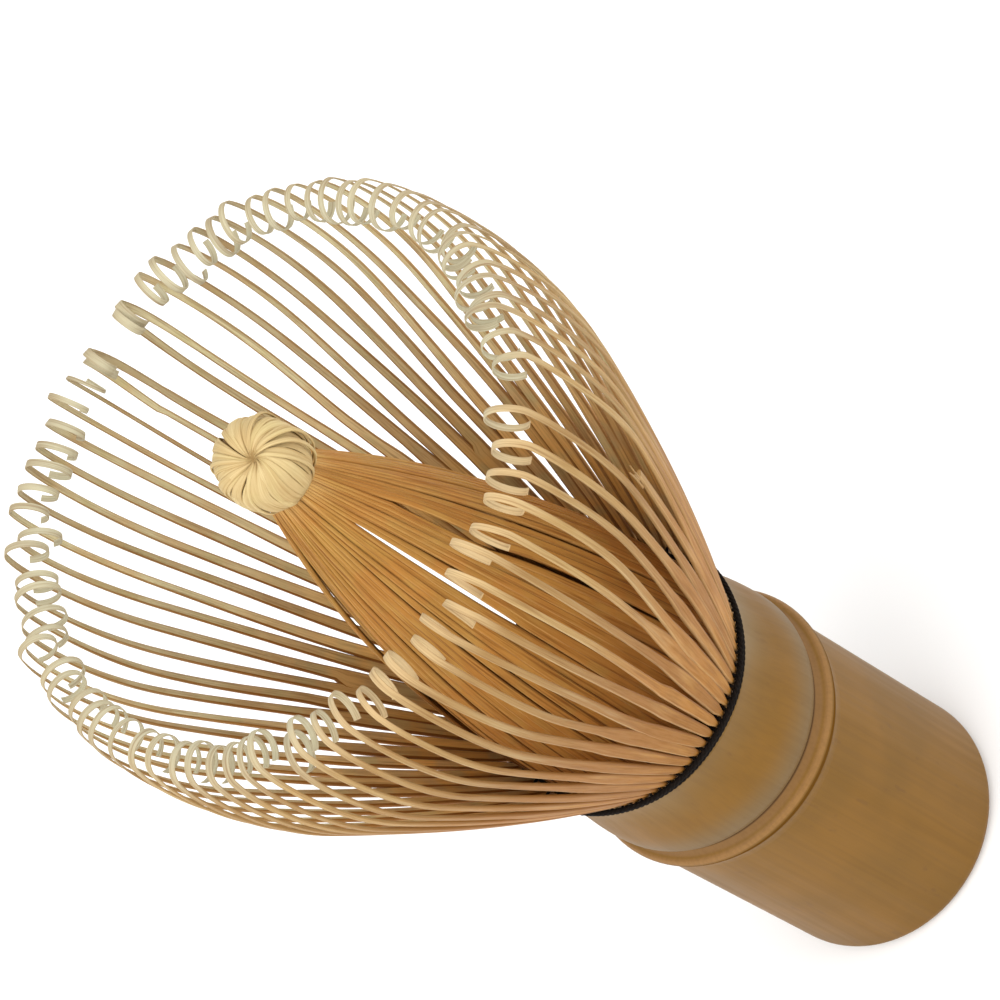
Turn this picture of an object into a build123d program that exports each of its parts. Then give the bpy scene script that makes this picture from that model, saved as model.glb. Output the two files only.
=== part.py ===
"""Bamboo tea whisk.

One length of culm is the handle. Above its shoulder the wall is split into outer tines with
curled tips and inner tines that lean together into a cone. The gathered ends of the inner tines
make a round knot, and a binding thread weaves between the tines at their roots.

Units are millimetres and degrees. Z runs up the culm from the centre of the handle's base.
"""

import os
from math import radians, tan

from build123d import *

# Handle
HANDLE_R = 12.4
HANDLE_EDGE_R = 1.4
LIP_Z = 30.9
LIP_R = 13.1
LIP_HALF_HEIGHT = 0.6
NODE_BAND_R = 12.45
NODE_GROOVE_Z = 32.6
NODE_GROOVE_R = 12.0
SHOULDER_Z = 34.8
SHOULDER_R = 12.6
CULM_TOP_Z = 45.1
CULM_TOP_R = 11.95
CULM_TOP_BORE_R = 10.5
HOLLOW_R = 8.5
HOLLOW_DEPTH = 27.0
SEPTUM_TOP_Z = 36.0

# Tines
TINE_COUNT = 76
SECTOR_SIZES = (5, 5, 5, 4) * 4
PITCH = 360 / TINE_COUNT
ROOT_Z = 45.25
ROOT_STRAIGHT = 1.2

# Outer tines: centre line radius at the root, lean there, thickness, and the chain of arcs
# (radius, turn) from the root to the tip. A positive lean or turn leads towards the whisk's axis.
OUTER_ROOT_R = 11.75
OUTER_LEAN = -20.0
OUTER_THICKNESS = 0.42
FLARE_ARC = (4.0, -3.8)
BODY_ARC = (285.0, 7.17)
BELLY_ARC = (43.0, 20.83)
NECK_ARC = (16.0, 10.0)
CURL_ARC = (1.9, 180.0)
CURL_END_ARC = (1.6, 105.0)
OUTER_CHAIN = (FLARE_ARC, BODY_ARC, BELLY_ARC, NECK_ARC, CURL_ARC, CURL_END_ARC)

# Outer tines: width at each height, narrow where the thread passes
OUTER_WIDTHS = ((45.2, 0.62), (46.9, 0.62), (48.2, 0.96), (60.0, 0.86), (85.0, 0.66), (101.0, 0.6))

# Inner tines
INNER_ROOT_R = 11.05
INNER_THICKNESS = 0.3
INNER_LEAN = 1.6
INNER_ARC = (170.0, 17.2)
INNER_WIDTHS = ((45.2, 0.55), (46.9, 0.55), (48.2, 0.68), (96.0, 0.12))

# Knot of inner tips
KNOT_BASE_Z = 95.75
KNOT_BASE_R = 2.4
KNOT_MID_Z = 99.2
KNOT_R = 4.25
KNOT_TOP_Z = 103.1
KNOT_CROWN_R = 1.5
KNOT_DIMPLE = 0.7

# Binding thread: two turns outside the tines (radius, height), one inside, and a crossing in
# every gap
THREAD_R = 0.3
THREAD_TURNS = ((12.47, 45.55), (12.66, 46.08))
THREAD_INNER_R = 11.45
THREAD_INNER_TURN_R = 0.2
THREAD_CROSSING_WIDTH = 0.2
THREAD_CROSSING_HEIGHT = 0.5


def upright(shape):
    """Turns a shape drawn with X as radius and Y as height so that its height runs along Z."""
    return Rot(X=90) * shape


def handle_culm():
    """The handle: a hollow lower length, the closed node and the shoulder that holds the tines."""
    base_edge = (HANDLE_R - HANDLE_EDGE_R, 0)
    body_low = (HANDLE_R, HANDLE_EDGE_R)
    body_high = (HANDLE_R, LIP_Z - 2.4)
    lip_low = (LIP_R - 0.25, LIP_Z - LIP_HALF_HEIGHT)
    lip_high = (LIP_R - 0.25, LIP_Z + LIP_HALF_HEIGHT)
    band_middle = (NODE_BAND_R, (LIP_Z + NODE_GROOVE_Z) / 2)
    groove = (NODE_GROOVE_R, NODE_GROOVE_Z)
    roll = (SHOULDER_R - 0.2, NODE_GROOVE_Z + 0.65)
    shoulder = (SHOULDER_R, SHOULDER_Z)
    shoulder_middle = (SHOULDER_R - 0.25, SHOULDER_Z + 4.0)
    shoulder_high = (CULM_TOP_R + 0.15, CULM_TOP_Z - 0.7)
    top_edge = (CULM_TOP_R, CULM_TOP_Z)
    outside = [
        RadiusArc(base_edge, body_low, -HANDLE_EDGE_R),
        Line(body_low, body_high),
        Spline(body_high, lip_low, tangents=((0, 1), (0.4, 1))),
        ThreePointArc(lip_low, (LIP_R, LIP_Z), lip_high),
        Spline(lip_high, band_middle, groove),
        Spline(groove, roll, shoulder, shoulder_middle, shoulder_high),
        Line(shoulder_high, top_edge),
    ]
    inside = Polyline(
        top_edge,
        (CULM_TOP_BORE_R, CULM_TOP_Z),
        (CULM_TOP_BORE_R, SEPTUM_TOP_Z + 2),
        (CULM_TOP_BORE_R - 2, SEPTUM_TOP_Z),
        (0, SEPTUM_TOP_Z),
        (0, HOLLOW_DEPTH + 1),
        (HOLLOW_R - 1.5, HOLLOW_DEPTH + 1),
        (HOLLOW_R, HOLLOW_DEPTH),
        (HOLLOW_R, 0),
        base_edge,
    )
    outline = make_face(outside + inside.edges())
    return revolve(upright(outline), Axis.Z)


def arc_side(start, lean, chain, offset):
    """One side of a strip: the root's straight run, then its arcs moved outwards by an offset."""
    heading = Vector(-tan(radians(lean)), 1).normalized()
    outward = Vector(heading.Y, -heading.X)
    point = Vector(start) + outward * offset
    edges = [Line(point, point + heading * ROOT_STRAIGHT)]
    for radius, turn in chain:
        side_radius = radius + offset if turn > 0 else radius - offset
        edges.append(JernArc(edges[-1] @ 1, edges[-1] % 1, side_radius, turn))
    return edges


def strip(root_r, lean, chain, thickness, widths):
    """A split of bamboo: a thin strip in a radial plane, with its width set by its height."""
    outer_side = arc_side((root_r, ROOT_Z), lean, chain, thickness / 2)
    inner_side = arc_side((root_r, ROOT_Z), lean, chain, -thickness / 2)
    root_end = Line(outer_side[0] @ 0, inner_side[0] @ 0)
    tip_end = Line(outer_side[-1] @ 1, inner_side[-1] @ 1)
    side_view = make_face(outer_side + inner_side + [root_end, tip_end])
    right = [(z, width / 2) for z, width in widths]
    left = [(z, -width / 2) for z, width in reversed(widths)]
    front_view = Plane.YZ * make_face(Polyline(*right, *left, close=True).edges())
    widest = max(width for z, width in widths)
    full_width = extrude(side_view, amount=widest, both=True)
    front_limits = extrude(front_view, amount=2 * SHOULDER_R + 10)
    return upright((full_width & front_limits).solid())


def sectors():
    """Yields each sector's number and the directions of the tines in it."""
    first = 0
    for number, size in enumerate(SECTOR_SIZES, start=1):
        yield number, [(first + place + 0.5) * PITCH for place in range(size)]
        first += size


def around(solid, directions):
    """Copies of a solid turned about Z, as a group of separate solids."""
    return Compound(children=[Rot(Z=direction) * solid for direction in directions])


def tip_knot():
    """The round knot that the inner tines' ends curl into, with a dimple on its crown."""
    crown = (KNOT_CROWN_R, KNOT_TOP_Z)
    side = ThreePointArc((KNOT_BASE_R, KNOT_BASE_Z), (KNOT_R, KNOT_MID_Z), crown)
    dimple = Spline(crown, (0, KNOT_TOP_Z - KNOT_DIMPLE), tangents=(side % 1, (-1, 0)))
    axis = Line(dimple @ 1, (0, KNOT_BASE_Z))
    base = Line((0, KNOT_BASE_Z), side @ 0)
    return revolve(upright(make_face([side, dimple, axis, base])), Axis.Z)


def binding_thread():
    """The thread: turns outside and inside the outer tines, joined by a crossing in each gap."""
    (low_r, low_z), (high_r, high_z) = THREAD_TURNS
    middle_z = (low_z + high_z) / 2
    middle_r = (low_r + high_r) / 2
    thread = Pos(Z=low_z) * Torus(low_r, THREAD_R) + Pos(Z=high_z) * Torus(high_r, THREAD_R)
    thread += Pos(Z=middle_z) * Torus(THREAD_INNER_R, THREAD_INNER_TURN_R)
    length = middle_r - THREAD_INNER_R
    place = Pos(THREAD_INNER_R + length / 2, 0, middle_z)
    crossing = place * Box(length, THREAD_CROSSING_WIDTH, THREAD_CROSSING_HEIGHT)
    return thread + [Rot(Z=gap * PITCH) * crossing for gap in range(TINE_COUNT)]


def write(shape, node):
    export_step(shape, f"parts/{node}.step")


def main():
    os.makedirs("parts", exist_ok=True)
    outer_tine = strip(OUTER_ROOT_R, OUTER_LEAN, OUTER_CHAIN, OUTER_THICKNESS, OUTER_WIDTHS)
    inner_tine = strip(INNER_ROOT_R, INNER_LEAN, (INNER_ARC,), INNER_THICKNESS, INNER_WIDTHS)
    write(handle_culm(), "handle_culm")
    for number, directions in sectors():
        write(around(outer_tine, directions), f"outer_tines_{number:02d}")
        write(around(inner_tine, directions), f"inner_tines_{number:02d}")
    write(tip_knot(), "tip_knot")
    write(binding_thread(), "binding_thread")


main()
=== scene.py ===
"""Looks of the bamboo tea whisk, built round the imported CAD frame.

The frame is in metres. Sizes in this script are in millimetres, and mesh_object() converts them.
Directions round the whisk are in degrees from +X, and heights are above the handle's base.
"""

import math
import random

import bpy
import numpy as np
from mathutils import Matrix, Quaternion, Vector


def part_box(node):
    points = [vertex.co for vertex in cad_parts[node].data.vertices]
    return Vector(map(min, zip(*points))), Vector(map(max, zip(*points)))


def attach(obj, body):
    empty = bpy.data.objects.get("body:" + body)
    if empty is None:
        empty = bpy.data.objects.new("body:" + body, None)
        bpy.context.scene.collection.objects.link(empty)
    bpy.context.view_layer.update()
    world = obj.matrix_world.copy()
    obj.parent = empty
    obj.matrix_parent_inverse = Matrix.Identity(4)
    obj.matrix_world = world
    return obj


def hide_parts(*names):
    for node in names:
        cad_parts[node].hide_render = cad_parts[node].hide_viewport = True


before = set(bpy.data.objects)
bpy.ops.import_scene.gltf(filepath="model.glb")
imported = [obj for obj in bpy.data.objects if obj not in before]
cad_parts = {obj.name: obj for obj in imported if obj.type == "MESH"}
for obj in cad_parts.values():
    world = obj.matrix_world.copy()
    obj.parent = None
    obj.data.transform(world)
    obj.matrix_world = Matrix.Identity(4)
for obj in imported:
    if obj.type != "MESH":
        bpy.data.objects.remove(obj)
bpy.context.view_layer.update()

MM = 0.001
SEED = 20
rng = random.Random(SEED)
stem_rng = random.Random(SEED + 1)


def node_box(node):
    """A CAD node's lowest and highest corner, in millimetres."""
    low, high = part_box(node)
    return Vector(low) / MM, Vector(high) / MM


# Places and sizes that come from the frame
CULM_TOP = node_box("handle_culm")[1].z
THREAD_LOW, THREAD_HIGH = node_box("binding_thread")
THREAD_OUTSIDE_R = THREAD_HIGH.x
ROOT_Z = node_box("outer_tines_01")[0].z
KNOT_LOW, KNOT_HIGH = node_box("tip_knot")

# Tines, as in the CAD model but with their own widths, thicknesses and tighter curls: arcs are
# (radius, turn), and a positive turn leads to the axis
TINE_COUNT = 76
SECTOR_SIZES = (5, 5, 5, 4) * 4
PITCH = 360 / TINE_COUNT
ROOT_STRAIGHT = 1.2
OUTER_ROOT_R = 11.75
OUTER_LEAN = -20.0
OUTER_CHAIN = ((4.0, -3.8), (285.0, 7.17), (43.0, 20.83), (16.0, 10.0), (1.75, 180.0), (1.55, 105.0))
OUTER_WIDTHS = (
    (45.2, 0.58), (46.4, 0.60), (48.2, 1.02), (53.0, 1.18), (59.0, 1.22), (66.0, 1.0), (74.0, 0.80),
    (82.0, 0.68), (90.0, 0.60), (101.0, 0.62))
OUTER_THICKNESSES = ((45.2, 0.42), (60.0, 0.38), (86.0, 0.28), (95.0, 0.15), (101.0, 0.10))
INNER_ROOT_R = 11.05
INNER_LEAN = 1.6
INNER_ARC = (170.0, 17.2)
INNER_WIDTHS = ((45.2, 0.60), (46.9, 0.60), (48.4, 1.0), (60.0, 0.96), (80.0, 0.60), (96.0, 0.28))
INNER_THICKNESS = 0.30
# Places in the chain of arcs
FLARE, BODY, BELLY, CURL, CURL_END = 0, 1, 2, 4, 5

WIDEST_TINE_R = 26.15
TIP_RING_R = 25.5
# How far the curls wander sideways along their length, on average, in millimetres
CURL_DRIFT = 0.25

# How far the tips stand sideways from their even places, in degrees, by direction
TIP_FAN = (
    (0, 0), (200, 0), (228, -2.4), (262, -1.2), (280, 0), (301, 3.2), (313, 4.6), (335, 1.5),
    (360, 0))
# How much longer or shorter the tines are, in millimetres, by direction
TIP_REACH = (
    (0, 0.3), (40, 0.2), (72, -0.8), (88, -1.0), (105, -0.2), (125, 0.5), (170, 0.5), (200, 0.1),
    (280, 0), (300, 0.8), (320, 1.3), (345, 0.9), (360, 0.3))
# Two pairs of neighbours whose tips were never split apart: the pair's middle direction at the
# tip, and how far each stem of the pair bows sideways, in degrees
JOINED_TIPS = {15: (76.0, 1.0), 16: (76.0, 0.6), 17: (86.8, 2.2), 18: (86.8, 2.0)}
JOINED_HALF_GAP = 0.36
# The share of its stem from which a joined tine widens towards its neighbour, and its widths there
JOINED_FROM = 0.8
JOINED_WIDTHS = (0.62, 0.78)
# The radius at which a bow in degrees is measured
BOW_R = 22.0
# The far tines beside the cone's see-through slit: bow in degrees, share of the width, and how
# far the root is pushed sideways in millimetres
BESIDE_SLIT = {18: (-0.3, 0.80, -0.05), 19: (1.3, 0.56, 0.48), 20: (0.5, 0.80, 0.14)}
# Above the thread each tine is as wide as the wall allows, up to where its split opened
WEB_FROM_Z = 48.2
WEB_SHARE = 0.985
WEB_TAPER = 8.0
SPLIT_HEIGHTS = (
    (0, 64.0), (90, 61.0), (220, 61.0), (255, 69.0), (300, 69.0), (325, 76.0), (345, 75.0),
    (360, 64.0))
SPLIT_SPREAD = 6.0
# How fast two sectors close on each other as both flex inwards, per millimetre of height, and
# the gap left between their nearest tines
BORDER_CLOSING = 0.0145
BORDER_GAP = 0.06
# Tines that keep a part of the next one low down, because a split stopped short: the height that
# it stopped at, where it starts, and how much wider they are there
HALF_SPLIT = {10: 61.5, 27: 62.5}
HALF_SPLIT_FROM_Z = 49.0
HALF_SPLIT_EXTRA = 0.45
# A tine that is broken off short, and the splinters at its end: each one's place across the
# tine, how far it splays and how far it stands past the break
BROKEN_TINE = 64
BREAK_Z = 82.0
SPLINTERS = ((-0.20, -0.16, 2.6), (0.0, 0.05, 1.5), (0.22, 0.2, 2.1))
SPLINTER_WIDTH = 0.20
SPLINTER_THICKNESS = 0.14
# The curls, shaved thin and pale. A tine turns pale over a stretch round its curl's start.
CURL_WIDTH = 0.60
CURL_THICKNESS = 0.10
PALE_BEFORE_CURL = 3.5
PALE_STRETCH = 7.0
# The darker roots, and the height over which that fades
ROOT_SHADE = 0.30
ROOT_SHADE_HEIGHT = 4.0
# Painted highlight: how pale one edge of a strip is painted, for the light caught along that edge
OUTER_EDGE_HIGHLIGHT = 0.26
INNER_EDGE_HIGHLIGHT = 0.15

# How far the knot stands off the whisk's axis
KNOT_OFFSET = Vector((0.7, 0.5, 0.0))

# Where each kind of strip starts in the fibre pattern, and the step to the next strip, so that no
# two strips show the same fibres
OUTER_FIBRES = (0, 3.7)
SPLINTER_FIBRES = (300, 3.1)
INNER_FIBRES = (400, 3.7)
KNOT_FIBRES = (900, 2.9)


# ---------------------------------------------------------------- geometry helpers

def clamp(value):
    """A value held between 0 and 1."""
    return min(1.0, max(0.0, value))


def from_table(table, place):
    """A value read from (place, value) pairs, straight between them. A place is a height or a
    direction."""
    places, values = zip(*table)
    return float(np.interp(place, places, values))


def direction_vectors(degrees):
    """Unit vectors outwards and round the whisk at one direction."""
    angle = math.radians(degrees)
    outwards = Vector((math.cos(angle), math.sin(angle), 0))
    round_z = Vector((-math.sin(angle), math.cos(angle), 0))
    return outwards, round_z


def walk(start_r, lean, chain, step=1.1, turn_step=11):
    """Stations along a tine in its radial plane, as (radius, height, lean, distance along)."""
    r, z, angle, along = start_r, ROOT_Z, math.radians(lean), 0.0
    stations = [(r, z, angle, along)]
    r -= ROOT_STRAIGHT * math.sin(angle)
    z += ROOT_STRAIGHT * math.cos(angle)
    along += ROOT_STRAIGHT
    stations.append((r, z, angle, along))
    for radius, turn in chain:
        length = radius * abs(math.radians(turn))
        count = max(2, math.ceil(length / step), math.ceil(abs(turn) / turn_step))
        for _ in range(count):
            half_turn = math.radians(turn) / count / 2
            chord = 2 * radius * math.sin(abs(half_turn))
            r -= chord * math.sin(angle + half_turn)
            z += chord * math.cos(angle + half_turn)
            angle += 2 * half_turn
            along += length / count
            stations.append((r, z, angle, along))
    return stations


def smooth_curve(points, count):
    """Points on a Catmull-Rom curve through the given ones, evenly spaced in its parameter."""
    inner = np.array(points, float)
    padded = np.vstack([2 * inner[0] - inner[1], inner, 2 * inner[-1] - inner[-2]])
    result = []
    for parameter in np.linspace(0, len(points) - 1, count):
        i = min(int(parameter), len(points) - 2)
        f = parameter - i
        a, b, c, d = padded[i:i + 4]
        bend = 2 * a - 5 * b + 4 * c - d
        swing = 3 * b - a - 3 * c + d
        result.append(0.5 * (2 * b + (c - a) * f + bend * f ** 2 + swing * f ** 3))
    return np.array(result)


class MeshParts:
    """Collects strips and tubes into one mesh, with a UV map in centimetres along each strip."""

    def __init__(self):
        self.vertices, self.faces, self.uvs, self.marks = [], [], [], []

    def add_rings(self, rings, across, along, marks, closed_ends=True):
        """Rings of points, joined by faces. marks holds a (tone, pale, shade, side) per point."""
        first = len(self.vertices)
        count = len(rings[0])
        for ring, mark in zip(rings, marks):
            self.vertices.extend(ring)
            self.marks.extend(mark)
        for i in range(len(rings) - 1):
            for j in range(count):
                k = (j + 1) % count
                self.faces.append((first + i * count + j, first + i * count + k,
                                   first + (i + 1) * count + k, first + (i + 1) * count + j))
                self.uvs.extend([(across[j], along[i]), (across[j + 1], along[i]),
                                 (across[j + 1], along[i + 1]), (across[j], along[i + 1])])
        if closed_ends:
            start = [first + j for j in reversed(range(count))]
            end = [first + (len(rings) - 1) * count + j for j in range(count)]
            self.faces.extend([tuple(start), tuple(end)])
            self.uvs.extend([(across[j], along[0]) for j in reversed(range(count))])
            self.uvs.extend([(across[j], along[-1]) for j in range(count)])

    def object(self, name, material, sharp=50):
        """All that was collected, as one object."""
        return mesh_object(name, self.vertices, self.faces, material, self.uvs, self.marks, sharp)


def mesh_object(name, vertices, faces, material, uvs=None, marks=None, sharp=50):
    """A mesh object from points in millimetres, smooth except at edges sharper than an angle."""
    mesh = bpy.data.meshes.new(name)
    mesh.from_pydata([tuple(v * MM for v in p) for p in vertices], [], faces)
    mesh.validate()
    if uvs:
        layer = mesh.uv_layers.new(name="UVMap")
        layer.data.foreach_set("uv", [c for uv in uvs for c in uv])
    if marks:
        attribute = mesh.attributes.new("strip", "FLOAT_COLOR", "POINT")
        attribute.data.foreach_set("color", [c for m in marks for c in m])
    mesh.shade_smooth()
    mesh.set_sharp_from_angle(angle=math.radians(sharp))
    mesh.materials.append(material)
    obj = bpy.data.objects.new(name, mesh)
    bpy.context.scene.collection.objects.link(obj)
    return obj


# Points across a strip's faces, and how round its edges are
FLAT_STEPS = (0.90, 0.45, 0.0, -0.45, -0.90)
CORNER_SHARE = 0.36
# The strip that the fibres' scale is set for
USUAL_WIDTH = 0.7
USUAL_THICKNESS = 0.3
# Which side of a strip a point is on, for its material
INNER_SIDE, SKIN_SIDE, CUT_EDGE = 0.0, 0.3, 1.0


def strip_section(width, thickness, crown=0.0, gleam=0.0):
    """A strip's section as (across, outwards, side, gleam) points.

    side marks the side of the strip. gleam is the strength of a painted highlight along one edge,
    standing in for light caught there.
    """
    corner = CORNER_SHARE * thickness
    half_width, half = width / 2 - corner, thickness / 2 - corner
    points = []
    for side, flat, start in ((1, 0, 0), (-1, 1, 90), (-1, 0, 180), (1, -1, 270)):
        up = 1 if start < 180 else -1
        # One edge of the strip gets a painted highlight in place of the darker cut-edge mark
        highlit_edge = gleam > 0 and side < 0
        edge_marks = (SKIN_SIDE, gleam) if highlit_edge else (CUT_EDGE, 0.0)
        for turn in (0, 45, 90):
            angle = math.radians(start + turn)
            points.append((side * half_width + corner * math.cos(angle),
                           up * half + corner * math.sin(angle), *edge_marks))
        if flat == 0:
            for step in FLAT_STEPS:
                place = up * step
                rise = up * (thickness / 2 + crown * (1 - place * place))
                points.append((place * half_width, rise, SKIN_SIDE if up > 0 else INNER_SIDE, 0.0))
    return points


def perimeter(section):
    """Distances round a closed outline, in centimetres, starting and ending at its first point."""
    distances = [0.0]
    for a, b in zip(section, section[1:] + section[:1]):
        distances.append(distances[-1] + math.dist(a[:2], b[:2]) / 10)
    return distances


def add_strip(parts, stations, fibres, number, crown=0.02, gleam=0.0):
    """Adds one strip. A station is (point, outwards, sideways, width, thickness, along, mark)."""
    first, step = fibres
    offset = first + number * step
    across = [offset + a for a in perimeter(strip_section(USUAL_WIDTH, USUAL_THICKNESS))]
    rings, along, marks = [], [], []
    for point, outwards, sideways, width, thickness, distance, mark in stations:
        section = strip_section(width, thickness, crown * thickness / USUAL_THICKNESS, gleam)
        rings.append([tuple(point + sideways * x + outwards * y) for x, y, side, light in section])
        along.append(distance / 10 + offset)
        tone, pale, shade = mark
        marks.append([(tone, max(pale, light), shade, side) for x, y, side, light in section])
    parts.add_rings(rings, across, along, marks)



# ---------------------------------------------------------------- materials

class Nodes:
    """Short names for building one material's nodes."""

    def __init__(self, name):
        self.material = bpy.data.materials.new(name)
        self.material.use_nodes = True
        self.tree = self.material.node_tree
        self.shader = self.tree.nodes["Principled BSDF"]

    def link(self, source, target):
        """Feeds an input from another node, or sets it to a number or colour."""
        if isinstance(source, (int, float)):
            target.default_value = source
        elif isinstance(source, (tuple, list)):
            target.default_value = (*source, 1.0) if len(source) == 3 else source
        else:
            self.tree.links.new(source, target)

    def node(self, kind, **settings):
        """A new node with its settings."""
        made = self.tree.nodes.new(kind)
        for key, value in settings.items():
            setattr(made, key, value)
        return made

    def coordinates(self, kind):
        """A texture coordinate, such as UV or Object."""
        return self.node("ShaderNodeTexCoord").outputs[kind]

    def mark(self, channel):
        """One of the marks on a strip's points: Red tone, Green pale (and the painted edge highlight),
        Blue painted shade, Alpha side.
        """
        attribute = self.node("ShaderNodeAttribute", attribute_name="strip")
        if channel == "Alpha":
            return attribute.outputs["Alpha"]
        split = self.node("ShaderNodeSeparateColor")
        self.link(attribute.outputs["Color"], split.inputs[0])
        return split.outputs[channel]

    def scaled(self, vector, scale):
        """A vector scaled along each axis."""
        mapping = self.node("ShaderNodeMapping")
        self.link(vector, mapping.inputs["Vector"])
        mapping.inputs["Scale"].default_value = scale
        return mapping.outputs[0]

    def noise(self, vector, scale, detail=3.0, rough=0.55):
        """A noise pattern around 0.5."""
        noise = self.node("ShaderNodeTexNoise")
        self.link(vector, noise.inputs["Vector"])
        noise.inputs["Scale"].default_value = scale
        noise.inputs["Detail"].default_value = detail
        noise.inputs["Roughness"].default_value = rough
        return noise.outputs["Fac"]

    def math(self, operation, a, b):
        made = self.node("ShaderNodeMath", operation=operation)
        self.link(a, made.inputs[0])
        self.link(b, made.inputs[1])
        return made.outputs[0]

    def between(self, value, low, high, low_out=0.0, high_out=1.0):
        """A smooth change from low_out to high_out as a value goes from low to high."""
        made = self.node("ShaderNodeMapRange", interpolation_type="SMOOTHSTEP")
        self.link(value, made.inputs["Value"])
        made.inputs["From Min"].default_value = low
        made.inputs["From Max"].default_value = high
        made.inputs["To Min"].default_value = low_out
        made.inputs["To Max"].default_value = high_out
        return made.outputs["Result"]

    def over(self, place, limits, low_out=0.0, high_out=1.0):
        """As between(), for a place in the frame and limits in millimetres."""
        low, high = limits
        return self.between(place, low * MM, high * MM, low_out, high_out)

    def ring(self, height, low, low_end, high, high_end):
        """1 between two heights in millimetres, fading out over the two edges given."""
        rise = self.over(height, (low, low_end))
        return self.math("MULTIPLY", rise, self.over(height, (high, high_end), 1.0, 0.0))

    def mix(self, factor, a, b):
        """Colour a where the factor is 0, and b where it is 1."""
        made = self.node("ShaderNodeMix", data_type="RGBA")
        self.link(factor, made.inputs["Factor"])
        self.link(a, made.inputs[6])
        self.link(b, made.inputs[7])
        return made.outputs[2]

    def bump(self, height, distance, strength):
        """Raises the surface by a pattern, over a distance in metres."""
        made = self.node("ShaderNodeBump")
        self.link(height, made.inputs["Height"])
        made.inputs["Distance"].default_value = distance
        made.inputs["Strength"].default_value = strength
        self.link(made.outputs[0], self.shader.inputs["Normal"])

    def set(self, **values):
        """Sets the shader's inputs by name, with _ for each space."""
        for key, value in values.items():
            self.link(value, self.shader.inputs[key.replace("_", " ")])


def srgb(r, g, b):
    """A colour given as 0-255 screen values, as the shader's linear values."""
    def linear(c):
        c /= 255
        return c / 12.92 if c <= 0.04045 else ((c + 0.055) / 1.055) ** 2.4
    return (linear(r), linear(g), linear(b))


# Where the tines' colours change, in millimetres: along their height, and near the -Y side, where
# the tips are warmer
BODY_CHANGE = (53.0, 80.0)
WEATHERING = (66.0, 92.0)
EDGE_FADING = (56.0, 84.0)
TIP_CHANGE = (80.0, 92.0)
WARM_SIDE = (-23.0, -16.0)


def split_bamboo(name, low, high, ruddy, olive, pale, gleam, dark, edge, skin, skin_share, streaking):
    """Split bamboo: warm near the roots and olive higher up, fine fibres, pale shaved tips.

    skin is the warmer colour of the side that faces away from the whisk's axis, gleam is the
    colour of the painted highlights along one edge and of the warmer tips, edge is the colour of the
    cut edges, partly their own darker colour and partly painted shade, and streaking is how strong the
    dark streaks are.
    """
    n = Nodes(name)
    uv = n.coordinates("UV")
    place = n.coordinates("Object")
    split = n.node("ShaderNodeSeparateXYZ")
    n.link(place, split.inputs[0])
    height = split.outputs["Z"]
    side = n.mark("Alpha")

    fibres = n.noise(n.scaled(uv, (95.0, 1.6, 1.0)), 1.0, detail=4.0, rough=0.65)
    coarse = n.noise(n.scaled(uv, (22.0, 0.7, 1.0)), 1.0, detail=2.0)
    patches = n.noise(place, 190.0, detail=2.0, rough=0.5)
    along = n.noise(n.scaled(uv, (1.5, 2.2, 1.0)), 1.0, detail=2.0)
    streaks = n.noise(n.scaled(uv, (42.0, 0.9, 1.0)), 1.0, detail=2.0)

    body = n.mix(n.over(height, BODY_CHANGE), low, high)
    colour = n.mix(n.between(patches, 0.45, 0.62, 0.0, 0.7), body, ruddy)
    colour = n.mix(n.between(along, 0.48, 0.68, 0.0, 0.6), colour, olive)
    on_skin = n.between(side, INNER_SIDE, SKIN_SIDE, 0.0, skin_share)
    colour = n.mix(on_skin, colour, n.mix(n.over(height, WEATHERING, 0.0, 0.32), skin, olive))
    colour = n.mix(n.between(n.mark("Red"), 0.0, 1.0, 0.0, 0.40), colour, dark)

    below_tips = n.over(height, TIP_CHANGE, 1.0, 0.0)
    warm_side = n.over(split.outputs["Y"], WARM_SIDE, 0.9, 0.0)
    light = n.mix(n.math("MAXIMUM", below_tips, warm_side), pale, gleam)
    # The Green mark: pale curls, and the painted highlight along one edge of each strip
    colour = n.mix(n.mark("Green"), colour, light)

    colour = n.mix(n.between(fibres, 0.30, 0.58, 0.40, 0.0), colour, dark)
    colour = n.mix(n.between(streaks, 0.28, 0.50, streaking, 0.0), colour, dark)
    colour = n.mix(n.between(coarse, 0.50, 0.75, 0.0, 0.16), colour, body)
    # Cut edges darken, partly their own colour and partly painted shade along the strips' edges and in
    # the lines between them
    on_edge = n.between(side, SKIN_SIDE, CUT_EDGE, 0.0, 0.75)
    edge_strength = n.over(height, EDGE_FADING, 1.0, 0.22)
    colour = n.mix(n.math("MULTIPLY", on_edge, edge_strength), colour, edge)
    colour = n.mix(n.mark("Blue"), colour, dark)

    n.set(Base_Color=colour, Roughness=n.between(fibres, 0.3, 0.7, 0.66, 0.5), Specular_IOR_Level=0.16)
    n.bump(n.math("ADD", fibres, coarse), 0.00004, 0.7)
    return n.material


# The handle's marks, with heights in millimetres
# Grey near the thread is partly the culm's bloom and partly a painted sheen on the shoulder's rounding;
# grey above the node is partly bloom and partly painted shade where the shoulder turns down to the
# groove
GREY_BELOW_THREAD = (38.5, CULM_TOP)
BLOOM_AND_SHADING_ABOVE_NODE = (33.8, 37.8)
BLOOM_AND_SHADING_FROM_GROOVE = (32.6, 33.2)
# How far the upper limit of the grey bloom and painted shade above the node wanders up and down
BLOOM_AND_SHADING_WANDER = 1.6
# Rings at the node, the lip's upper side, the band and the groove: limits, strength and colour. The
# first is a painted highlight on the lip's ridge, and the last, darkest one is painted shade in the band
# and groove.
NODE_RINGS = (
    ((31.0, 31.2, 31.5, 31.7), 0.50, (150, 112, 72)),
    ((31.6, 31.9, 32.4, 32.6), 0.50, (124, 92, 62)),
    ((32.3, 32.5, 32.75, 33.0), 0.80, (58, 36, 16)),
)
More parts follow.
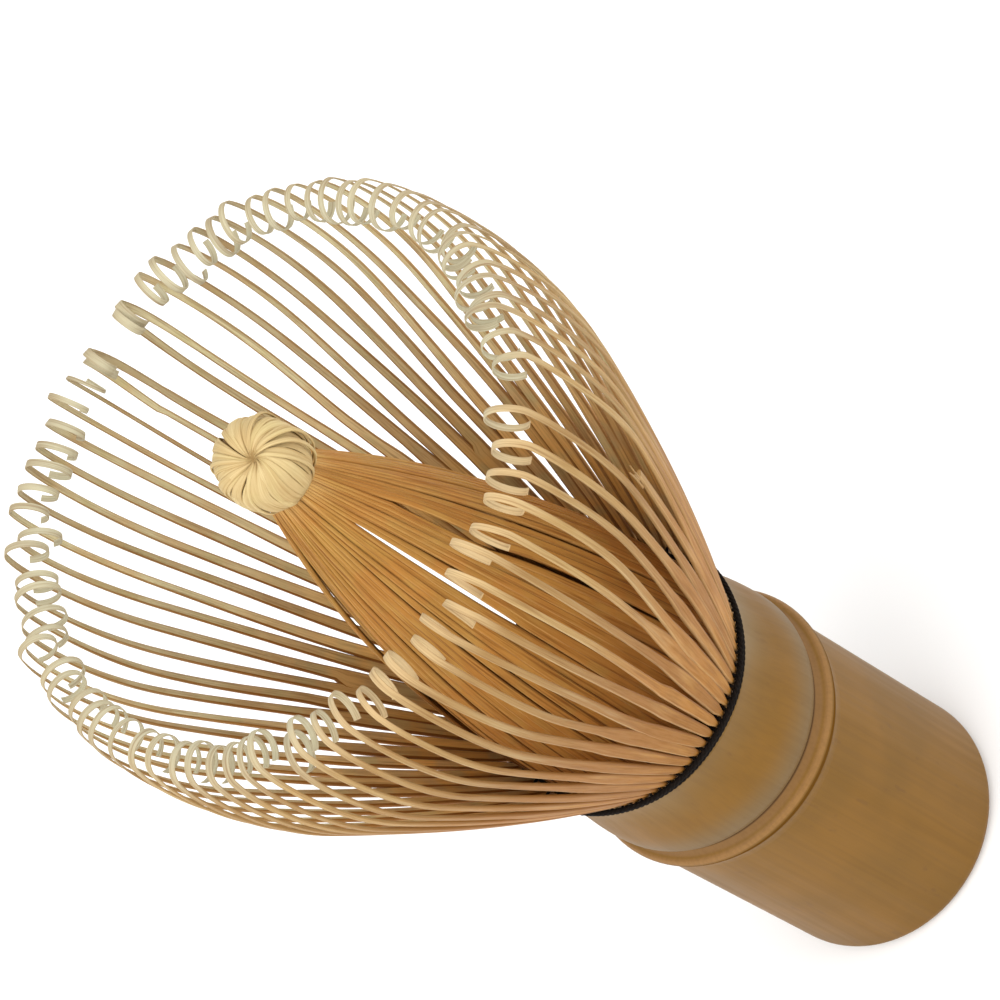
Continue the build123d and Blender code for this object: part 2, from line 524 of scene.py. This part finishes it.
# Painted shadow under the node's lip: its limits
UNDER_LIP = (29.5, 30.1, 30.8, 31.05)
SAWN_END = (0.05, 0.25)
HOLLOW_WALL = (8.6, 8.9)
HOLLOW_TOP = (35.0, 36.0)


def culm_skin():
    """The handle: satin culm skin with fine upright fibres, soft mottling, and a grey bloom that is
    partly painted sheen and shade on the rounded shoulder.
    """
    n = Nodes("culm_skin")
    place = n.coordinates("Object")
    split = n.node("ShaderNodeSeparateXYZ")
    n.link(place, split.inputs[0])
    height = split.outputs["Z"]
    across = n.node("ShaderNodeVectorMath", operation="LENGTH")
    n.link(n.scaled(place, (1.0, 1.0, 0.0)), across.inputs[0])

    fibres = n.noise(n.scaled(place, (3000.0, 3000.0, 60.0)), 1.0, detail=3.0, rough=0.6)
    streaks = n.noise(n.scaled(place, (600.0, 600.0, 18.0)), 1.0, detail=3.0, rough=0.6)
    mottle = n.noise(place, 95.0, detail=3.0, rough=0.55)
    bloom_and_shading = n.noise(place, 60.0, detail=2.0)
    specks = n.noise(n.scaled(place, (900.0, 900.0, 300.0)), 1.0, detail=2.0)

    colour = n.mix(n.between(mottle, 0.34, 0.66), srgb(112, 79, 25), srgb(120, 84, 27))
    colour = n.mix(n.between(streaks, 0.40, 0.66, 0.0, 0.10), colour, srgb(96, 66, 22))

    # Grey near the thread: the culm's bloom and a painted sheen on the shoulder's rounding
    near_thread = n.over(height, GREY_BELOW_THREAD, 0.0, 0.6)
    grey = n.math("MULTIPLY", n.between(bloom_and_shading, 0.40, 0.60, 0.35, 1.0), near_thread)
    colour = n.mix(grey, colour, srgb(120, 106, 78))
    # Grey above the node: the culm's bloom and painted shade where the shoulder turns down to the groove
    wander = n.math("MULTIPLY", n.noise(place, 120.0, detail=2.0), BLOOM_AND_SHADING_WANDER * MM)
    uneven = n.math("ADD", height, n.math("SUBTRACT", wander, BLOOM_AND_SHADING_WANDER * MM / 2))
    above_node = n.over(uneven, BLOOM_AND_SHADING_ABOVE_NODE, 0.62, 0.0)
    from_groove = n.over(height, BLOOM_AND_SHADING_FROM_GROOVE)
    colour = n.mix(n.math("MULTIPLY", above_node, from_groove), colour, srgb(108, 92, 66))

    # The node's rings, with a painted highlight on the lip and painted shade in the groove
    for limits, strength, tint in NODE_RINGS:
        colour = n.mix(n.math("MULTIPLY", n.ring(height, *limits), strength), colour, srgb(*tint))
    # Painted shadow under the lip
    under_lip = n.ring(height, *UNDER_LIP)
    colour = n.mix(n.math("MULTIPLY", under_lip, 0.65), colour, srgb(82, 52, 22))
    colour = n.mix(n.between(specks, 0.66, 0.74, 0.0, 0.3), colour, srgb(92, 62, 30))
    colour = n.mix(n.between(fibres, 0.35, 0.6, 0.16, 0.0), colour, srgb(88, 60, 28))

    dots = n.node("ShaderNodeTexVoronoi", feature="F1")
    n.link(place, dots.inputs["Vector"])
    dots.inputs["Scale"].default_value = 1500.0
    wood = n.mix(n.between(dots.outputs["Distance"], 0.12, 0.42), srgb(96, 62, 30), srgb(196, 160, 106))
    colour = n.mix(n.over(height, SAWN_END, 1.0, 0.0), colour, wood)
    inside = n.over(across.outputs["Value"], HOLLOW_WALL, 1.0, 0.0)
    in_hollow = n.math("MULTIPLY", inside, n.over(height, HOLLOW_TOP, 1.0, 0.0))
    colour = n.mix(in_hollow, colour, srgb(170, 128, 78))

    n.set(Base_Color=colour, Roughness=n.between(streaks, 0.3, 0.7, 0.44, 0.52),
          Specular_IOR_Level=n.between(under_lip, 0.0, 1.0, 0.14, 0.0))
    n.bump(n.math("ADD", n.math("MULTIPLY", fibres, 0.35), streaks), 0.00005, 0.2)
    return n.material


def black_thread():
    """Matt twisted cotton thread with a fine fibre bump."""
    n = Nodes("black_thread")
    uv = n.coordinates("UV")
    fibres = n.noise(n.scaled(uv, (60.0, 25.0, 1.0)), 1.0, detail=4.0, rough=0.7)
    colour = n.mix(n.between(fibres, 0.45, 0.75), srgb(15, 10, 7), srgb(38, 28, 20))
    n.set(Base_Color=colour, Roughness=0.9, Specular_IOR_Level=0.12)
    n.bump(fibres, 0.00006, 0.8)
    return n.material


def floor_material():
    """Matt pale paper."""
    n = Nodes("floor")
    grain = n.noise(n.coordinates("Object"), 40.0, detail=2.0)
    colour = n.mix(grain, (0.93, 0.93, 0.925), (0.95, 0.95, 0.945))
    n.set(Base_Color=colour, Roughness=0.9, Specular_IOR_Level=0.1)
    return n.material


OUTER_BAMBOO = split_bamboo(
    "outer_bamboo",
    low=srgb(242, 190, 108), high=srgb(214, 204, 162), ruddy=srgb(206, 178, 130),
    olive=srgb(198, 190, 138), pale=srgb(186, 179, 150), gleam=srgb(208, 178, 130),
    dark=srgb(116, 74, 28), edge=srgb(128, 82, 34), skin=srgb(154, 99, 28), skin_share=0.93,
    streaking=0.42)
INNER_BAMBOO = split_bamboo(
    "inner_bamboo",
    low=srgb(206, 144, 70), high=srgb(174, 130, 62), ruddy=srgb(184, 124, 56),
    olive=srgb(188, 152, 80), pale=srgb(222, 186, 120), gleam=srgb(240, 196, 130),
    dark=srgb(136, 84, 32), edge=srgb(92, 54, 18), skin=srgb(202, 142, 66), skin_share=0.2,
    streaking=0.95)
PALE_BAMBOO = split_bamboo(
    "pale_bamboo",
    low=srgb(196, 173, 124), high=srgb(196, 173, 124), ruddy=srgb(200, 166, 114),
    olive=srgb(196, 180, 120), pale=srgb(220, 202, 157), gleam=srgb(220, 202, 157),
    dark=srgb(154, 116, 56), edge=srgb(168, 136, 78), skin=srgb(212, 186, 135), skin_share=0.3,
    streaking=0.38)
CULM_SKIN = culm_skin()
BLACK_THREAD = black_thread()


# ---------------------------------------------------------------- outer tines

def outer_chain(number, reach):
    """The arcs of one tine, each a little different from the next."""
    chain = [list(arc) for arc in OUTER_CHAIN]
    chain[FLARE][1] += rng.gauss(0, 0.35)
    chain[BODY][0] += reach / math.radians(OUTER_CHAIN[BODY][1])
    chain[BELLY][1] += rng.gauss(0, 0.8)
    curl_scale = 1 + rng.gauss(0, 0.06)
    chain[CURL][0] *= curl_scale
    chain[CURL_END][0] *= curl_scale
    chain[CURL_END][1] += rng.uniform(-28, 34)
    if number in JOINED_TIPS:
        chain[CURL] = [1.35, 165]
        chain[CURL_END] = [2.2, 32]
    return chain


def held_in(path, limit):
    """Leans a path in about its root until no part of it stands further out than a limit."""
    widest = max(path)
    if widest[0] <= limit:
        return path
    slope = (widest[0] - limit) / (widest[1] - ROOT_Z)
    return [(r - slope * (z - ROOT_Z), z, lean, along) for r, z, lean, along in path]


def fan_offset(direction, on_stem):
    """How far the tines stand sideways in one direction, in millimetres."""
    return math.radians(from_table(TIP_FAN, direction)) * TIP_RING_R * on_stem ** 2


def even_room(r, z):
    """The width left for an evenly placed tine at a sector border, when both sectors flex in."""
    return math.radians(PITCH) * r - BORDER_CLOSING * (z - ROOT_Z) - BORDER_GAP


class OuterTine:
    """One outer tine. border is 1 or -1 at the last or first place of its sector, or 0."""

    def __init__(self, number, border):
        self.number = number
        self.border = border
        self.direction = (number + 0.5) * PITCH
        reach = from_table(TIP_REACH, self.direction) + rng.gauss(0, 0.22)
        chain = outer_chain(number, reach)
        self.path = held_in(walk(OUTER_ROOT_R, OUTER_LEAN, chain), WIDEST_TINE_R)
        stem = sum(radius * abs(math.radians(turn)) for radius, turn in chain[:CURL])
        self.curl_start = ROOT_STRAIGHT + stem
        self.length = self.path[-1][3]
        tip_shift = from_table(TIP_FAN, self.direction) + rng.gauss(0, 0.30)
        self.bow, self.joined, self.joined_bow = rng.gauss(0, 0.25), 0.0, 0.0
        if number in JOINED_TIPS:
            middle, self.joined_bow = JOINED_TIPS[number]
            tip_shift = middle - self.direction
            self.joined = math.copysign(JOINED_HALF_GAP, self.direction - middle)
        self.tip_offset = math.radians(tip_shift) * TIP_RING_R + self.joined
        self.drift = rng.gauss(CURL_DRIFT, 0.3)
        self.twist_at_tip = math.radians(rng.gauss(0, 7))
        self.wide = 1 + rng.gauss(0, 0.07)
        self.split_z = from_table(SPLIT_HEIGHTS, self.direction)
        self.split_z += stem_rng.uniform(-SPLIT_SPREAD, SPLIT_SPREAD)
        self.sway, self.sway_turn = stem_rng.gauss(0, 0.9), stem_rng.uniform(1.4, 2.2)
        self.push = 0.0
        if number in BESIDE_SLIT:
            self.split_z, self.sway = WEB_FROM_Z, 0.0
            self.bow, self.wide, self.push = BESIDE_SLIT[number]
        self.tone = rng.random()

    def side(self, on_stem, in_curl):
        """How far the strip's middle stands sideways, in millimetres."""
        power = 5 if self.joined else 2
        side = self.tip_offset * on_stem ** power - self.drift * in_curl
        side += math.radians(self.bow) * BOW_R * math.sin(math.pi * on_stem) ** 2
        side += self.sway * on_stem * math.sin(math.pi * self.sway_turn * on_stem) * (1 - on_stem)
        side += self.push * (1 - on_stem) ** 3
        if self.joined:
            side += math.radians(self.joined_bow) * BOW_R * math.sin(math.pi * on_stem ** 2) ** 2
        return side

    def width(self, r, z, in_curl):
        """The strip's width: its own, or up to the wall's share below its split."""
        if in_curl > 0:
            return CURL_WIDTH * self.wide
        width = from_table(OUTER_WIDTHS, z) * self.wide
        if z > WEB_FROM_Z:
            web = clamp((self.split_z - z) / WEB_TAPER)
            width += max(0.0, WEB_SHARE * math.radians(PITCH) * r - width) * web
        return min(width, even_room(r, z)) if self.border else width

    def clear_of_border(self, side, width, r, z, on_stem, in_curl):
        """The sideways place, held back where it would meet the next sector's tine."""
        fan = fan_offset(self.direction, on_stem)
        neighbour = (self.direction + self.border * PITCH) % 360
        spread = self.border * (fan_offset(neighbour, on_stem) - fan)
        spare = (even_room(r, z) + spread - width) / 2
        even = fan - CURL_DRIFT * in_curl
        return even + self.border * min(self.border * (side - even), spare)

    def place(self, r, z, on_stem, in_curl):
        """The strip's sideways place and its width at one station."""
        side = self.side(on_stem, in_curl)
        width = self.width(r, z, in_curl)
        if self.joined and on_stem > JOINED_FROM:
            first, last = JOINED_WIDTHS
            width = first + (last - first) * (on_stem - JOINED_FROM) / (1 - JOINED_FROM)
        elif self.border:
            side = self.clear_of_border(side, width, r, z, on_stem, in_curl)
        if self.number in HALF_SPLIT and HALF_SPLIT_FROM_Z < z < HALF_SPLIT[self.number]:
            extra = HALF_SPLIT_EXTRA * width
            width += extra
            side += extra / 2
        return side, width

    def stations(self):
        """The strip's stations, as add_strip() takes them."""
        outwards, round_z = direction_vectors(self.direction)
        stations = []
        for r, z, lean, along in self.path:
            on_stem = min(1.0, along / self.curl_start)
            in_curl = max(0.0, (along - self.curl_start) / (self.length - self.curl_start))
            side, width = self.place(r, z, on_stem, in_curl)
            thickness = CURL_THICKNESS if in_curl > 0 else from_table(OUTER_THICKNESSES, z)
            twist = self.twist_at_tip * on_stem ** 2
            normal = outwards * math.cos(lean) + Vector((0, 0, math.sin(lean)))
            sideways = round_z * math.cos(twist) - normal * math.sin(twist)
            facing = normal * math.cos(twist) + round_z * math.sin(twist)
            pale = clamp((along - self.curl_start + PALE_BEFORE_CURL) / PALE_STRETCH)
            shade = ROOT_SHADE * max(0.0, 1 - (z - ROOT_Z) / ROOT_SHADE_HEIGHT)
            point = outwards * r + round_z * side + Vector((0, 0, z))
            mark = (self.tone, pale, shade)
            stations.append((point, facing, sideways, width, thickness, along, mark))
        return stations

    def add_to(self, parts):
        if self.number == BROKEN_TINE:
            self.add_splinters(parts)
            self.path = [station for station in self.path if station[1] < BREAK_Z]
        add_strip(parts, self.stations(), OUTER_FIBRES, self.number, gleam=OUTER_EDGE_HIGHLIGHT)

    def add_splinters(self, parts):
        """The frayed end of the broken tine: thin fibres that stand past the break."""
        outwards, round_z = direction_vectors(self.direction)
        for splinter, (across, splay, length) in enumerate(SPLINTERS):
            stations = []
            for r, z, lean, along in self.path:
                past = (z - BREAK_Z) / length
                if not -0.8 < past < 1:
                    continue
                normal = outwards * math.cos(lean) + Vector((0, 0, math.sin(lean)))
                side = across + splay * max(0.0, past) ** 2
                point = outwards * r + round_z * side + Vector((0, 0, z))
                width = SPLINTER_WIDTH * (1 - 0.7 * max(0.0, past))
                mark = (self.tone, 0.15, 0.0)
                stations.append((point, normal, round_z, width, SPLINTER_THICKNESS, along, mark))
            add_strip(parts, stations, SPLINTER_FIBRES, splinter)


def build_outer_tines():
    number = 0
    for sector, size in enumerate(SECTOR_SIZES, start=1):
        parts = MeshParts()
        for place in range(size):
            border = {0: -1, size - 1: 1}.get(place, 0)
            OuterTine(number, border).add_to(parts)
            number += 1
        piece = parts.object(f"outer_tines_{sector:02d}_strips", OUTER_BAMBOO)
        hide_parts(f"outer_tines_{sector:02d}")
        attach(piece, f"outer_sector_{sector:02d}")


# ---------------------------------------------------------------- inner tines

# Gaps between inner tines: the number of the tine after the gap, the gap's lower height and
# direction, its upper height and direction, and how far each tine is pushed aside
SLITS = (
    (56, 71.5, 265.3, 90.5, 265.8, 0.16),
    (19, 45.5, 93.4, 79.0, 90.3, 0.58),
    (64, 76.5, 299.4, 87.5, 304.4, 0.22),
    (14, 57.0, 66.9, 74.5, 66.4, 0.55),
)
# How far round the whisk a slit pushes the tines, in degrees
SLIT_REACH = 11.0
CLUMP_SIZES = (1, 2, 3, 3, 4, 5)
# How much closer the tines of a clump stand at mid-height, and how far all bulge outwards there
CLUMP_CLOSENESS = 0.12
INNER_BULGE = 0.25


def slit_offset(direction, r, z):
    """How far a slit pushes an inner tine sideways, in millimetres."""
    offset = 0.0
    for after, low, low_direction, high, high_direction, push in SLITS:
        middle = after * PITCH
        away = direction - middle
        nearness = math.exp(-(away / SLIT_REACH) ** 2)
        share = (z - low) / (high - low)
        follow = low_direction + (high_direction - low_direction) * clamp(share) - middle
        fade = math.exp(-max(0.0, -share, share - 1) * 3)
        offset += math.radians(follow) * r * nearness * fade
        if 0 < share < 1:
            opening = math.sin(math.pi * share) ** 0.5
            offset += math.copysign(push * nearness * opening, away)
    return offset


def clumps():
    """Groups of neighbouring inner tines that stick together, as (members, stand, tilt, tone)."""
    groups, first = [], 0
    limits = sorted(slit[0] for slit in SLITS) + [TINE_COUNT]
    while first < TINE_COUNT:
        limit = next(number for number in limits if number > first)
        members = range(first, min(limit, first + rng.choice(CLUMP_SIZES)))
        groups.append((members, rng.gauss(0, 0.21), rng.gauss(7, 9), rng.random()))
        first = members[-1] + 1
    return groups


def inner_tine(parts, number, clump):
    """One inner tine, bunched with the others of its clump and leaning to the knot."""
    members, stand, clump_tilt, clump_tone = clump
    middle = (members[0] + members[-1]) / 2
    direction = (number + 0.5) * PITCH
    arc_r, arc_turn = INNER_ARC
    chain = ((arc_r * (1 + rng.gauss(0, 0.006)), arc_turn + rng.gauss(0, 0.2)),)
    path = walk(INNER_ROOT_R + rng.uniform(-0.08, 0.08), INNER_LEAN, chain)
    total = path[-1][3]
    bunch = math.radians((middle - number) * PITCH * CLUMP_CLOSENESS + rng.gauss(0, 0.25))
    tilt = math.radians(clump_tilt + rng.gauss(0, 4))
    tone = clamp(0.7 * clump_tone + 0.3 * rng.random())
    wide = 1 + rng.gauss(0, 0.08)
    outwards, round_z = direction_vectors(direction)
    stations = []
    for r, z, lean, along in path:
        share = along / total
        belly = math.sin(math.pi * share)
        side = bunch * r * belly + slit_offset(direction, r, z)
        bulge = (INNER_BULGE + stand) * belly
        turn = tilt * share
        normal = outwards * math.cos(lean) + Vector((0, 0, math.sin(lean)))
        sideways = round_z * math.cos(turn) - normal * math.sin(turn)
        facing = normal * math.cos(turn) + round_z * math.sin(turn)
        to_knot = KNOT_OFFSET * share ** 2
        point = outwards * (r + bulge) + round_z * side + Vector((0, 0, z)) + to_knot
        width = from_table(INNER_WIDTHS, z) * wide
        mark = (tone, 0.75 * max(0.0, (share - 0.93) / 0.07), 0.0)
        stations.append((point, facing, sideways, width, INNER_THICKNESS, along, mark))
    add_strip(parts, stations, INNER_FIBRES, number, gleam=INNER_EDGE_HIGHLIGHT)


def build_inner_tines():
    clump_of = {number: clump for clump in clumps() for number in clump[0]}
    number = 0
    for sector, size in enumerate(SECTOR_SIZES, start=1):
        parts = MeshParts()
        for _ in range(size):
            inner_tine(parts, number, clump_of[number])
            number += 1
        piece = parts.object(f"inner_tines_{sector:02d}_strips", INNER_BAMBOO)
        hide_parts(f"inner_tines_{sector:02d}")
        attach(piece, "handle")


# ---------------------------------------------------------------- knot

KNOT_STRIPS = 46
# How far the crown leans forwards, in degrees, and how far the strips swirl, in radians
KNOT_TILT = 31.0
KNOT_SWIRL = 0.85
KNOT_STRIP_THICKNESS = 0.15
KNOT_STRIP_CROWN = 0.06
KNOT_CORE_SCALE = 0.93
LOOSE_STRIP_WIDTH = 0.36
LOOSE_STRIP_THICKNESS = 0.14
# Strips sprung up from the knot: direction, how far they stand off, and how far they reach
LOOSE_STRIPS = (
    (-46.0, 0.55, 0.90), (-33.0, 0.75, 0.86), (-24.0, 0.40, 0.94), (22.0, 0.34, 0.90),
    (130.0, 0.26, 0.92), (205.0, 0.22, 0.92), (292.0, 0.30, 0.93))
# Directions where the strips part and the core shows, darkened by painted shade, and how far they part,
# in degrees
KNOT_POCKETS = ((-72.0, 4.5), (-118.0, 3.0))
POCKET_REACH = 9.0
KNOT_MIDDLE = Vector((0, 0, (KNOT_LOW.z + KNOT_HIGH.z) / 2 - 0.3)) + KNOT_OFFSET


def knot_profile(scale=1.0, count=44):
    """(radius, height, share) points from the knot's neck, over its side, into its dimple."""
    base, top = KNOT_LOW.z - 0.6, KNOT_HIGH.z - 0.75
    side = KNOT_HIGH.x - 0.62
    rise = top - base
    outline = (
        (0.62 * side, base), (0.76 * side, base + 0.08 * rise), (0.94 * side, base + 0.24 * rise),
        (side, base + 0.47 * rise), (0.93 * side, base + 0.73 * rise), (0.72 * side, base + 0.91 * rise),
        (0.44 * side, top), (0.20 * side, base + 0.965 * rise), (0.03 * side, base + 0.90 * rise))
    curve = smooth_curve(outline, count)
    middle = (base + top) / 2
    shares = [i / (count - 1) for i in range(count)]
    return [(r * scale, middle + (z - middle) * scale, share) for (r, z), share in zip(curve, shares)]


def knot_place(direction, r, z, share):
    """Where a profile point goes: the knot's crown leans forwards while its neck stays put."""
    outwards, _ = direction_vectors(direction)
    upright = outwards * r + Vector((KNOT_OFFSET.x, KNOT_OFFSET.y, z))
    lean = share * share * (3 - 2 * share)
    turn = Matrix.Rotation(math.radians(KNOT_TILT) * lean, 3, "X")
    return KNOT_MIDDLE + turn @ (upright - KNOT_MIDDLE)


def knot_strip(parts, start, lift, widest, thickness, number, reach=1.0):
    """One strip of the knot, from its neck over its side as far as its reach."""
    swirl = math.degrees(KNOT_SWIRL + rng.gauss(0, 0.1))
    tone = rng.random() * 0.7
    wave, wave_size = rng.uniform(0, math.tau), rng.uniform(0.02, 0.09)
    profile = [point for point in knot_profile() if point[2] <= reach]
    points, round_knot = [], []
    for r, z, share in profile:
        direction = start + swirl * share ** 5 + 5 * math.sin(wave + 4 * share)
        point = knot_place(direction, r, z, share)
        points.append(point)
        round_knot.append(knot_place(direction + 1, r, z, share) - point)
    stations, along = [], 0.0
    for i, (r, z, share) in enumerate(profile):
        before, after = points[max(0, i - 1)], points[min(len(points) - 1, i + 1)]
        tangent = (after - before).normalized()
        normal = round_knot[i].cross(tangent).normalized()
        sideways = tangent.cross(normal)
        if i:
            along += (points[i] - points[i - 1]).length
        off = lift * math.sin(math.pi * min(1, share * 1.05)) + wave_size * math.sin(wave + 9 * share)
        width = min(widest, max(0.14, math.tau * r / KNOT_STRIPS * 2.1))
        neck_shade = 0.85 * max(0.0, 1 - share / 0.20)
        dimple_shade = 0.28 * max(0.0, (share - 0.93) / 0.07)
        mark = (tone, 0.2, min(0.9, neck_shade + dimple_shade))
        stations.append((points[i] + normal * off, normal, sideways, width, thickness, along, mark))
    add_strip(parts, stations, KNOT_FIBRES, number, crown=KNOT_STRIP_CROWN)


def build_knot():
    """The knot's wound strips, a few loose ones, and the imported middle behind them."""
    parts = MeshParts()
    for number in range(KNOT_STRIPS):
        start = (number + rng.uniform(-0.45, 0.45)) * 360 / KNOT_STRIPS
        for pocket, half_width in KNOT_POCKETS:
            away = (start - pocket + 180) % 360 - 180
            start += math.copysign(half_width, away) * math.exp(-(away / POCKET_REACH) ** 2)
        lift, widest = rng.uniform(-0.16, 0.14), rng.uniform(0.50, 1.25)
        knot_strip(parts, start, lift, widest, KNOT_STRIP_THICKNESS, number)
    for number, (start, lift, reach) in enumerate(LOOSE_STRIPS, start=KNOT_STRIPS):
        knot_strip(parts, start, lift, LOOSE_STRIP_WIDTH, LOOSE_STRIP_THICKNESS, number, reach)
    piece = parts.object("tip_knot_strips", PALE_BAMBOO)
    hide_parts("tip_knot")
    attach(piece, "handle")
    core = knot_core()
    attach(core, "handle")


def knot_core():
    """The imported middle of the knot, seen only in the gaps between its strips."""
    segments, profile = 72, knot_profile(KNOT_CORE_SCALE)
    vertices = [knot_place(360 * s / segments, *point) for s in range(segments) for point in profile]
    count = len(profile)
    faces = []
    for s in range(segments):
        t = (s + 1) % segments
        for i in range(count - 1):
            faces.append((s * count + i, t * count + i, t * count + i + 1, s * count + i + 1))
    faces.append(tuple(s * count for s in reversed(range(segments))))
    faces.append(tuple(s * count + count - 1 for s in range(segments)))
    uvs = [(vertices[v].x / 10, vertices[v].z / 10) for face in faces for v in face]
    # The core is painted dark: painted shade in the gaps between the strips
    marks = [(0.9, 0.0, 0.75, 0.0)] * len(vertices)
    return mesh_object("tip_knot_core", vertices, faces, PALE_BAMBOO, uvs, marks)


# ---------------------------------------------------------------- binding thread

THREAD_TWIST = 1.5
THREAD_PLIES = 3
THREAD_SIDES = 8
STEPS_PER_TWIST = 9
# A ply's own radius, as a share of the radius at which it winds round the thread's middle
PLY_SHARE = 0.17 / 0.15
CROSSING_R = 0.13
OUTER_TURN_R = THREAD_OUTSIDE_R - 0.3
INNER_TURN_R = 11.45
THREAD_MIDDLE = (THREAD_LOW.z + THREAD_HIGH.z) / 2
# Each turn: radius, height above the thread's middle, winding radius of its plies, and wander
THREAD_TURNS = (
    (OUTER_TURN_R - 0.16, -0.25, 0.13, 0.05), (OUTER_TURN_R, 0.25, 0.13, 0.06),
    (OUTER_TURN_R - 0.10, 0.0, 0.11, 0.03), (INNER_TURN_R, 0.1, 0.10, 0.03),
    (INNER_TURN_R, 0.5, 0.10, 0.03))
# The route of a crossing between two tines: radius, and height above the thread's middle
CROSSING_ROUTE = ((OUTER_TURN_R, -0.2), (OUTER_TURN_R - 0.35, 0.2), (12.0, 0.3), (INNER_TURN_R, 0.2))


def tube(parts, points, radius, offset, closed):
    """A round tube along points, with its ends closed or joined."""
    points = [Vector(p) for p in points]
    count = len(points)
    rings = []
    for i, point in enumerate(points):
        after = points[(i + 1) % count] if closed else points[min(i + 1, count - 1)]
        before = points[i - 1] if closed else points[max(i - 1, 0)]
        tangent = (after - before).normalized()
        first = tangent.cross(Vector((0, 0, 1)))
        if first.length < 0.2:
            first = tangent.cross(Vector((1, 0, 0)))
        first.normalize()
        second = tangent.cross(first)
        rings.append([tuple(point + (first * math.cos(a) + second * math.sin(a)) * radius)
                      for a in (math.tau * k / THREAD_SIDES for k in range(THREAD_SIDES))])
    if closed:
        rings.append(rings[0])
    side_length = math.tau * radius / THREAD_SIDES / 10
    across = [offset + k * side_length for k in range(THREAD_SIDES + 1)]
    along = [offset + i * 0.03 for i in range(len(rings))]
    marks = [[(0.5, 0, 0, 0)] * THREAD_SIDES] * len(rings)
    parts.add_rings(rings, across, along, marks, closed_ends=not closed)


def thread_turn(parts, radius, z, winding_r, wander, number):
    """One closed turn of three-ply thread, wandering a little up and down."""
    twists = round(math.tau * radius / THREAD_TWIST)
    steps = twists * STEPS_PER_TWIST
    for ply in range(THREAD_PLIES):
        points = []
        for i in range(steps):
            around = math.tau * i / steps
            twist = twists * around + math.tau * ply / THREAD_PLIES
            r = radius + winding_r * math.cos(twist)
            height = z + winding_r * math.sin(twist) + wander * math.sin(7 * around + number)
            points.append((r * math.cos(around), r * math.sin(around), height))
        tube(parts, points, PLY_SHARE * winding_r, number * 5 + ply, closed=True)


def build_thread():
    """The thread's turns round the whisk, and its crossings in the gaps between the tines."""
    parts = MeshParts()
    for number, (radius, above, winding_r, wander) in enumerate(THREAD_TURNS):
        thread_turn(parts, radius, THREAD_MIDDLE + above, winding_r, wander, number)
    for gap in range(TINE_COUNT):
        outwards, _ = direction_vectors(gap * PITCH)
        base = THREAD_MIDDLE + rng.uniform(-0.05, 0.3)
        route = [outwards * r + Vector((0, 0, base + above)) for r, above in CROSSING_ROUTE]
        tube(parts, smooth_curve(route, 8), CROSSING_R, 50 + gap, closed=False)
    piece = parts.object("binding_thread_plies", BLACK_THREAD, sharp=80)
    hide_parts("binding_thread")
    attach(piece, "handle")


# ---------------------------------------------------------------- handle

def build_handle():
    """The handle keeps its CAD shape and gets the culm skin."""
    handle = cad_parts["handle_culm"]
    handle.data.materials.clear()
    handle.data.materials.append(CULM_SKIN)


# ---------------------------------------------------------------- stage, light and camera

# Places in millimetres, angles in degrees
CAMERA_FROM = Vector((0.0, -272.1, 391.3))
CAMERA_AIM = Vector((8.5, 19.5, 48.7))
CAMERA_ROLL = -59.24
CAMERA_LENS = 180.0
SENSOR = 36.0
# The floor lies just under the base, so that the two don't share a plane
FLOOR_HALF = 3000.0
FLOOR_Z = -0.02
# Lamps: place in metres, power in watts and size in metres
LAMPS = {
    "key": ((-0.55, -0.45, 0.95), 6.3, 0.9),
    "fill": ((0.7, -0.5, 0.6), 4.2, 0.9),
    "side": ((-0.9, -0.25, 0.2), 2.4, 0.8),
}
LAMP_AIM = Vector((0, 0, 0.06))


def build_camera():
    data = bpy.data.cameras.new("camera")
    data.lens, data.sensor_width = CAMERA_LENS, SENSOR
    data.clip_start, data.clip_end = 0.01, 20
    camera = bpy.data.objects.new("camera", data)
    level = (CAMERA_AIM - CAMERA_FROM).to_track_quat("-Z", "Y")
    roll = Quaternion((0, 0, 1), math.radians(CAMERA_ROLL))
    camera.rotation_mode = "QUATERNION"
    camera.rotation_quaternion = level @ roll
    camera.location = CAMERA_FROM * MM
    bpy.context.scene.collection.objects.link(camera)
    bpy.context.scene.camera = camera


def area_light(name, place, power, size):
    """A soft square lamp, aimed at the middle of the whisk."""
    data = bpy.data.lights.new(name, "AREA")
    data.energy, data.size = power, size
    lamp = bpy.data.objects.new(name, data)
    lamp.location = place
    lamp.rotation_mode = "QUATERNION"
    lamp.rotation_quaternion = (LAMP_AIM - Vector(place)).to_track_quat("-Z", "Y")
    bpy.context.scene.collection.objects.link(lamp)


def build_stage():
    half = FLOOR_HALF
    corners = [(x * half, y * half, FLOOR_Z) for x, y in ((-1, -1), (1, -1), (1, 1), (-1, 1))]
    floor = mesh_object("floor", corners, [(0, 1, 2, 3)], floor_material())
    world = bpy.data.worlds.new("studio")
    world.use_nodes = True
    background = world.node_tree.nodes["Background"]
    background.inputs["Color"].default_value = (1.0, 1.0, 1.0, 1.0)
    background.inputs["Strength"].default_value = 1.0
    bpy.context.scene.world = world
    for name, (place, power, size) in LAMPS.items():
        area_light(name, place, power, size)
    bpy.context.scene.view_settings.view_transform = "Standard"
    bpy.context.scene.view_settings.look = "None"


build_outer_tines()
build_inner_tines()
build_knot()
build_thread()
build_handle()
build_stage()
build_camera()
